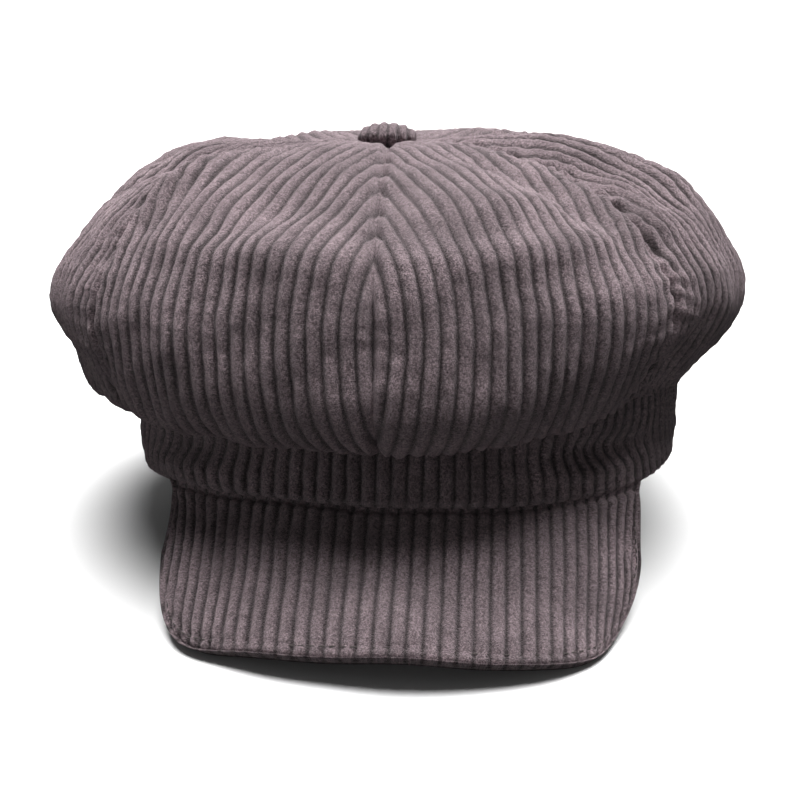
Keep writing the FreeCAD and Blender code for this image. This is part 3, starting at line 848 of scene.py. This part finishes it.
# ---------------------------------------------------------------- visor
VISOR_COLUMNS = 330
VISOR_ROWS = 56
VISOR_END = 0.964
EDGE_ROLL = 3.2
STITCH_INSET = 3.6


def visor_point(across, reach):
    """Points of the visor's top face: across runs from -1 at the left end of its seam
    to 1 at the right, reach is the distance out from the seam."""
    across, reach = np.broadcast_arrays(np.asarray(across, float), np.asarray(reach, float))
    turn = np.radians(VISOR_HALF_ANGLE) * across
    start = oval_point(turn, 0, 0.0)
    normal = np.stack([np.sin(turn) / BAND_HALF_WIDTH, -np.cos(turn) / BAND_HALF_DEPTH,
                       0 * turn], axis=-1)
    normal /= np.linalg.norm(normal, axis=-1, keepdims=True)
    flat = normal * VISOR_FLARE + np.array([0, -1.0, 0]) * (1 - VISOR_FLARE)
    flat /= np.linalg.norm(flat, axis=-1, keepdims=True)
    fall = np.radians(VISOR_SLOPE + (VISOR_SIDE_SLOPE - VISOR_SLOPE) * across ** 2)
    fall = fall + VISOR_BOW * (reach / VISOR_LENGTH - 0.5)
    outward = flat * np.cos(fall)[..., None]
    outward = outward + np.array([0, 0, -1.0]) * np.sin(fall)[..., None]
    return start + outward * reach[..., None]



def visor_extent(across):
    return VISOR_LENGTH * np.sqrt(1 - np.abs(across) ** VISOR_CORNER)


def visor_grid(columns, rows):
    """Across and reach values of a grid over the visor, closer together at its ends."""
    angle = np.linspace(-1, 1, columns) * math.pi / 2
    across = (VISOR_END * (0.55 * np.sin(angle) + 0.45 * np.linspace(-1, 1, columns)))[None, :]
    part = np.linspace(0, 1, rows)[:, None]
    part = 0.82 * part + 0.18 * np.sin(part * math.pi / 2)
    reach = -VISOR_TUCK + (visor_extent(across) + VISOR_TUCK) * part
    return np.broadcast_arrays(across, reach)


def visor_side(across, reach):
    """Place across the flat cloth: the distance from the middle line, measured along
    a line of constant reach."""
    fine = np.linspace(-1, 1, 401)
    levels = np.linspace(-VISOR_TUCK, VISOR_LENGTH, 25)
    table = []
    for level in levels:
        line = visor_point(fine, level)
        length = running_length(line[:, None, :], 0)[:, 0]
        table.append(length - np.interp(0, fine, length))
    table = np.array(table)
    column = (across + 1) / 2 * (len(fine) - 1)
    row = np.clip((reach - levels[0]) / (levels[1] - levels[0]), 0, len(levels) - 1.001)
    i, j = row.astype(int), np.clip(column.astype(int), 0, len(fine) - 2)
    v, u = row - i, column - j
    return ((table[i, j] * (1 - u) + table[i, j + 1] * u) * (1 - v)
            + (table[i + 1, j] * (1 - u) + table[i + 1, j + 1] * u) * v)


def visor_normals(base):
    """Upward normals of a grid on the visor."""
    normals = grid_normals(base)
    return normals * np.sign(normals[len(base) // 2, base.shape[1] // 2, 2])


def edge_distance(points):
    """Distance from each point of a visor grid to the visor's free edge."""
    edge = np.concatenate([points[:, 0], points[-1], points[:, -1]])
    best = np.full(points.shape[:-1], 1e9)
    for spot in edge:
        best = np.minimum(best, np.linalg.norm(points - spot, axis=-1))
    return best


def visor_cover(name, node, depth, upper):
    """One corduroy cover of the visor, rolled over the board's edge to meet the other
    cover half way."""
    across, reach = visor_grid(VISOR_COLUMNS, VISOR_ROWS)
    base = visor_point(across, reach)
    outward = visor_normals(base)
    side = visor_side(across, reach)
    rim = edge_distance(base)
    near = 1 - np.clip(rim / EDGE_ROLL, 0, 1)
    roll = (1 - np.sqrt(np.maximum(1 - near ** 2, 0))) * (VISOR_DEEP / 2)
    wales = wale_relief(side / WALE, base) * (0.35 + 0.65 * smoothstep(0, 1.6, rim))
    groove = -0.55 * np.exp(-((rim - STITCH_INSET) / 0.8) ** 2)
    tuck = -2.6 * (1 - smoothstep(-2.0, 2.6, reach)) + 0.3 * np.exp(-((reach - 3.4) / 1.6) ** 2)
    slack = 0.5 * waves(base, 48, 71)
    if upper:
        lift = -roll + groove + tuck + slack - 0.3
        outer = base + outward * (lift + wales)[..., None]
        inner = base + outward * (lift - WALE_RISE - 0.6)[..., None]
    else:
        lift = -depth + roll - tuck * 0.5 - groove + slack + 0.3
        outer = base + outward * (lift - wales)[..., None]
        inner = base + outward * (lift + WALE_RISE + 0.4)[..., None]
        outer, inner = outer[::-1], inner[::-1]
        side, reach = side[::-1], reach[::-1]
    flat = np.stack([side / WALE, reach / WALE], axis=-1)
    piece = cloth_shell(name, outer, inner, flat)
    ride_visor(piece, CORDUROY, node)


def ride_visor(piece, material, node):
    """Gives a visor piece its material, bakes its placement into its mesh and hides the
    model's part that it replaces; points on the hem and below it are worked out but not used."""
    piece.data.materials.append(material)
    start = cap_to_world(np.array([0, 0, 0.0]))
    end = cap_to_world(np.array([0, 0, -BLEND_DEPTH]))
    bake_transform(piece)
    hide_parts(node)


BOARD_COLUMNS, BOARD_ROWS = 120, 20
BOARD_START = 2.0           # out from the seam
BOARD_INSET = 4.4           # in from the visor's front edge
BOARD_NARROWED = 0.955
BOARD_TOP_DEPTH = 2.5
BOARD_UNDER_DEPTH = 3.3
BOARD_GRAIN = 17


def visor_board():
    """The stiff board between the covers, clear of their rolled edges."""
    across, reach = visor_grid(BOARD_COLUMNS, BOARD_ROWS)
    far = np.maximum(visor_extent(across) - BOARD_INSET, 2 * BOARD_START)
    part = np.linspace(0, 1, BOARD_ROWS)[:, None]
    across = across * BOARD_NARROWED
    reach = BOARD_START + (far - BOARD_START) * part
    base = visor_point(across, reach)
    outward = visor_normals(base)
    outer = base - outward * BOARD_TOP_DEPTH
    inner = base - outward * BOARD_UNDER_DEPTH
    flat = np.stack([across * BOARD_GRAIN, reach / WALE], axis=-1)
    piece = cloth_shell("visor_stiffener", outer, inner, flat)
    ride_visor(piece, BOARD, "visor_board")


# ---------------------------------------------------------------- stitches
STITCH_PITCH = 3.4
STITCH_LENGTH = 2.4


def stitch_template():
    """One short stitch of thread, along X, one millimetre long and thick."""
    bpy.ops.object.select_all(action="DESELECT")
    bpy.ops.mesh.primitive_uv_sphere_add(segments=8, ring_count=6, radius=0.5)
    shape = bpy.context.object
    points = np.array([v.co for v in shape.data.vertices])
    faces = [list(f.vertices) for f in shape.data.polygons]
    bpy.data.objects.remove(shape)
    return points, faces


def stitch_row(name, places, headings, normals, length, thick):
    """Separate stitches lying in the cloth, as one piece."""
    points, faces = stitch_template()
    all_points, all_faces = [], []
    for place, heading, normal in zip(places, headings, normals):
        heading = heading / np.linalg.norm(heading)
        normal = normal - heading * float(normal @ heading)
        normal = normal / np.linalg.norm(normal)
        beside = np.cross(normal, heading)
        sink = -0.35 * thick * (2 * np.abs(points[:, :1])) ** 2
        spots = (place + points[:, :1] * heading * length + points[:, 1:2] * beside * thick
                 + (points[:, 2:3] * thick + sink) * normal)
        base = len(all_points) * len(points)
        all_points.append(spots)
        all_faces += [[base + i for i in face] for face in faces]
    mesh = bpy.data.meshes.new(name)
    mesh.from_pydata(cap_to_world(np.concatenate(all_points)).tolist(), [], all_faces)
    piece = link(name, mesh)
    smooth(piece)
    return piece


def along_line(wanted, length, values):
    """Vectors known at the lengths along a line, read off at the wanted lengths."""
    return np.stack([np.interp(wanted, length, values[:, i]) for i in range(3)], axis=-1)


def spaced(points, pitch):
    """Places at even steps along a line of points, with headings."""
    length = running_length(points[:, None, :], 0)[:, 0]
    wanted = np.arange(pitch / 2, length[-1], pitch)
    heading = along_line(wanted + 0.5, length, points) - along_line(wanted - 0.5, length, points)
    return along_line(wanted, length, points), heading


def visor_edge_line(inset):
    """The line round the visor's free edge, moved in by inset along the cloth."""
    across, reach = visor_grid(VISOR_COLUMNS, VISOR_ROWS)
    edge = np.concatenate([
        np.stack([across[12:-1, 0], reach[12:-1, 0]], axis=-1),
        np.stack([across[-1], reach[-1]], axis=-1),
        np.stack([across[12:-1, -1], reach[12:-1, -1]], axis=-1)[::-1]])
    side = visor_side(edge[:, 0], edge[:, 1])
    heading = np.gradient(np.stack([side, edge[:, 1]], axis=-1), axis=0)
    heading /= np.linalg.norm(heading, axis=-1, keepdims=True)
    step = 0.01
    stretch = (visor_side(edge[:, 0] * (1 - step), edge[:, 1]) - side) / (-step * edge[:, 0])
    moved = edge.copy()
    moved[:, 0] += heading[:, 1] * inset / stretch
    moved[:, 1] -= heading[:, 0] * inset
    return moved


def visor_stitches():
    path = visor_edge_line(STITCH_INSET)
    line = visor_point(path[:, 0], path[:, 1])
    further = visor_point(path[:, 0], path[:, 1] + 1) - line
    beside = visor_point(path[:, 0] + 0.01, path[:, 1]) - line
    normal = np.cross(further, beside)
    normal *= np.sign(normal[:, 2:3])
    normal /= np.linalg.norm(normal, axis=-1, keepdims=True)
    places, headings = spaced(line - normal * 0.75, STITCH_PITCH)
    length = running_length(line[:, None, :], 0)[:, 0]
    ends = length[0] + STITCH_PITCH / 2, length[-1] - STITCH_PITCH / 2
    normals = along_line(np.linspace(*ends, len(places)), length, normal)
    piece = stitch_row("edge_stitches", places, headings, normals, STITCH_LENGTH, 0.5)
    ride_visor(piece, BROWN_THREAD, "visor_edge_stitching")


def sweatband_stitches():
    turn = np.linspace(-math.pi, math.pi, 1500)
    line = oval_point(turn, SWEATBAND_INSET + LAYER_GAP + SWEATBAND_THICK + 0.05, 3.0)
    places, headings = spaced(line, STITCH_PITCH)
    normals = -places * np.array([1, 1, 0])
    piece = stitch_row("sweatband_stitches", places, headings, normals,
                       STITCH_LENGTH, 0.45)
    ride_and_dress(piece, "cap", BLACK_THREAD, "black_thread", "sweatband_stitching")


# ---------------------------------------------------------------- covered button
def button_cloth():
    """Corduroy gathered over the button's dome, with small pleats round its edge."""
    rows, columns = 46, 150
    part = np.linspace(0.0, 1.0, rows)[:, None]
    turn = np.linspace(0, 2 * math.pi, columns, endpoint=False)[None, :]
    part, turn = np.broadcast_arrays(part, turn)
    bend = part * math.radians(BUTTON_WRAP)
    radius = BUTTON_RADIUS * np.sin(bend) ** 0.86
    height = BUTTON_HEIGHT * (np.cos(bend) * 0.78 + 0.22)
    centre = np.array(BUTTON_CENTRE)
    base = np.stack([radius * np.sin(turn), -radius * np.cos(turn), height], axis=-1) + centre
    away = np.stack([np.sin(bend) * np.sin(turn), -np.sin(bend) * np.cos(turn),
                     np.cos(bend)], axis=-1)
    side = base[..., 0] - centre[0] + 1.1
    pleat = np.sin(turn * 19 + 0.8 * np.sin(turn * 3)) * 0.4 * smoothstep(0.45, 0.95, part)
    cords = wale_relief(side / BUTTON_WALE, base) * 0.62 * (1 - 0.5 * smoothstep(0.6, 1.0, part))
    lift = pleat + cords
    outer = base + away * lift[..., None]
    inner = base - away * BUTTON_CLOTH
    flat = np.stack([side, base[..., 1] - centre[1]], axis=-1) / BUTTON_WALE
    piece = cloth_shell("button_cloth", outer, inner, flat, closed=True)
    ride_and_dress(piece, "cap", CORDUROY, "corduroy", "button_cover")


# ---------------------------------------------------------------- build
def dress_node(name, material):
    node = frame["nodes"][name]
    node.data.materials.clear()
    node.data.materials.append(material)


for gore in range(GORES):
    crown_gore(gore)
    lining_gore(gore)
headband()
inner_bands()
visor_cover("visor_top_cloth", "visor_top_cover", VISOR_DEEP, True)
visor_cover("visor_under_cloth", "visor_under_cover", VISOR_DEEP, False)
visor_board()
visor_stitches()
sweatband_stitches()
button_cloth()
dress_node("button_shell", TIN)
dress_node("button_back_plate", TIN)
dress_node("button_prong", STEEL)


# ---------------------------------------------------------------- stage, light, camera
FLOOR_SIZE = 80             # metres, so that its far edge never shows
WORLD_GLOW = (0.03, 0.09)   # from the horizon to the zenith
SUN_STRENGTH = 8.0
SUN_WIDTH = 52              # degrees: a wide soft source
SUN_TILT = (-10, 3)         # degrees from straight down
CAMERA_AZIMUTH = 3.5
CAMERA_ELEVATION = 20.0
CAMERA_DISTANCE = 0.569
CAMERA_TARGET = (0.0025, -0.0017, 0.0462)
CAMERA_LENS = 67.5
CAMERA_SENSOR = 36


def floor():
    bpy.ops.object.select_all(action="DESELECT")
    bpy.ops.mesh.primitive_plane_add(size=FLOOR_SIZE)
    table = bpy.context.object
    table.name = "table_top"
    material, tree, shader = new_material("white table")
    shader.inputs["Base Color"].default_value = (0.93, 0.93, 0.93, 1)
    shader.inputs["Roughness"].default_value = 0.6
    shader.inputs["Specular IOR Level"].default_value = 0.2
    table.data.materials.append(material)
    table.visible_diffuse = False


def face(thing, heading):
    """Turn a lamp or the camera to look along a heading."""
    thing.rotation_euler = Vector(heading).to_track_quat("-Z", "Y").to_euler()


def area_light(name, place, aim, size, power, colour=(1, 1, 1)):
    data = bpy.data.lights.new(name, "AREA")
    data.shape = "DISK"
    data.size = size
    data.energy = power
    data.color = colour
    lamp = bpy.data.objects.new(name, data)
    bpy.context.scene.collection.objects.link(lamp)
    lamp.location = place
    face(lamp, np.array(aim, float) - np.array(place, float))


def lighting():
    world = bpy.data.worlds.new("studio")
    bpy.context.scene.world = world
    world.use_nodes = True
    tree = world.node_tree
    back = tree.nodes["Background"]
    where = tree.nodes.new("ShaderNodeTexCoord")
    split = tree.nodes.new("ShaderNodeSeparateXYZ")
    tree.links.new(where.outputs["Generated"], split.inputs[0])
    glow = range_node(tree, split.outputs[2], -0.2, 0.7, *WORLD_GLOW)
    tree.links.new(glow, back.inputs["Strength"])
    back.inputs["Color"].default_value = (1, 1, 1, 1)
    sun = bpy.data.lights.new("overhead", "SUN")
    sun.energy = SUN_STRENGTH
    sun.angle = math.radians(SUN_WIDTH)
    lamp = bpy.data.objects.new("overhead", sun)
    bpy.context.scene.collection.objects.link(lamp)
    lamp.rotation_euler = (math.radians(SUN_TILT[0]), math.radians(SUN_TILT[1]), 0)
    area_light("back_fill", (0.5, 1.6, 0.5), (0, 0, 0.07), 0.8, 3.0)
    area_light("front_fill", (-0.3, -1.7, 0.12), (0, 0, 0.05), 0.6, 2.6)


def camera():
    azimuth, elevation = math.radians(CAMERA_AZIMUTH), math.radians(CAMERA_ELEVATION)
    aim = np.array([math.sin(azimuth) * math.cos(elevation),
                    -math.cos(azimuth) * math.cos(elevation), math.sin(elevation)])
    data = bpy.data.cameras.new("view")
    data.lens = CAMERA_LENS
    data.sensor_width = CAMERA_SENSOR
    lens = bpy.data.objects.new("view", data)
    bpy.context.scene.collection.objects.link(lens)
    lens.location = np.array(CAMERA_TARGET) + aim * CAMERA_DISTANCE
    face(lens, -aim)
    bpy.context.scene.camera = lens


floor()
lighting()
camera()
bpy.context.scene.view_settings.view_transform = "Standard"
